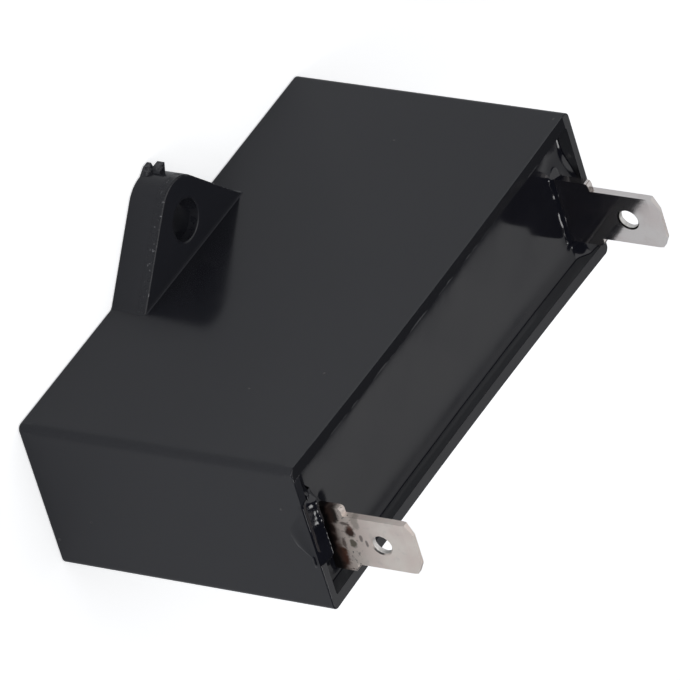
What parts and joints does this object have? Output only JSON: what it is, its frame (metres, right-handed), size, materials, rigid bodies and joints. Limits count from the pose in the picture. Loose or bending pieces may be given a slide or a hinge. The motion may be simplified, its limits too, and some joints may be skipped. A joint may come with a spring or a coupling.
{
  "type": "motor start capacitor",
  "caption": "Box-shaped film capacitor: black plastic case potted with glossy resin, flat push-on tabs near both ends of its open side, screw ear flush with its bottom.",
  "frame": {"origin": "centre of the case's closed bottom face", "axes": "+X along the case towards its near end, +Z out of the open side with the tabs, the ear stands out of the -Y wall flush with the bottom"},
  "size_m": [0.0592, 0.0281, 0.0439],
  "materials": {
    "case_plastic": "fine matt moulded",
    "resin": "glossy cast epoxy",
    "plated_metal": "tin plated, stained at the base",
    "film": "metallised film roll",
    "wrap": "plain film",
    "sprayed_metal": "rough sprayed zinc",
    "solder": "soft solder"
  },
  "bodies": {
    "root": {"case": "case_plastic", "potting_resin": "resin", "terminal_near": "plated_metal", "terminal_far": "plated_metal", "film_winding": "film", "outer_wrap": "wrap", "end_spray_near": "sprayed_metal", "end_spray_far": "sprayed_metal", "solder_near": "solder", "solder_far": "solder"}
  },
  "joints": []
}
